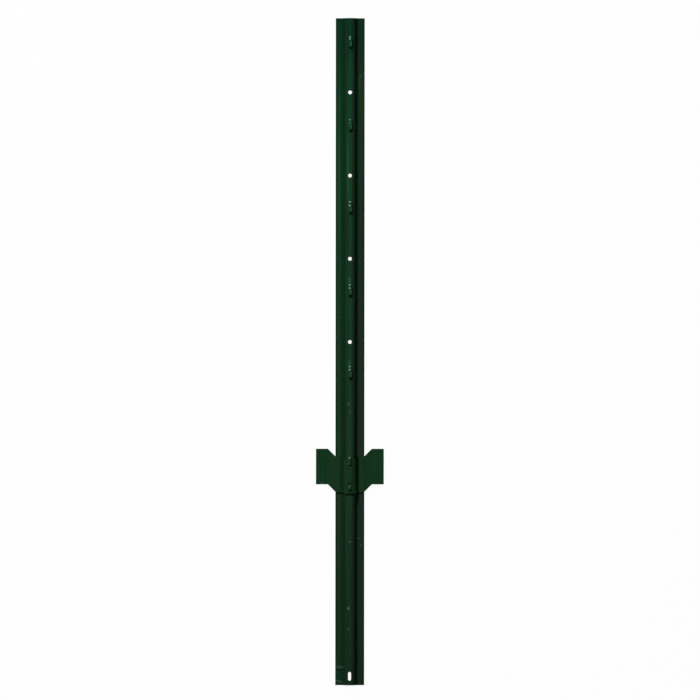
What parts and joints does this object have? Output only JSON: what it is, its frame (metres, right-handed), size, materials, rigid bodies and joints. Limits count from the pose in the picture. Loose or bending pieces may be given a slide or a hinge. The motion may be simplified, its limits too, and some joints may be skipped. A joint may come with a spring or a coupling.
{
  "type": "u-channel fence post",
  "caption": "Light rolled-steel U-channel fence post with a pierced crown, lanced wire lugs and a formed anchor plate clinched on near its foot.",
  "frame": {"origin": "midway along the post, midway between its flange edges, in the plane of the flange backs that it lies on", "axes": "+Y along the post towards its top end, +X across it, +Z out of the crown, the side that shows in the picture"},
  "size_m": [0.093, 0.9144, 0.0243],
  "materials": {
    "green_paint": "dark green gloss dip paint on rolled steel strip",
    "plate_green_paint": "dark green gloss dip paint on pressed steel sheet"
  },
  "bodies": {
    "root": {"post_channel": "green_paint", "anchor_plate": "plate_green_paint"}
  },
  "joints": []
}
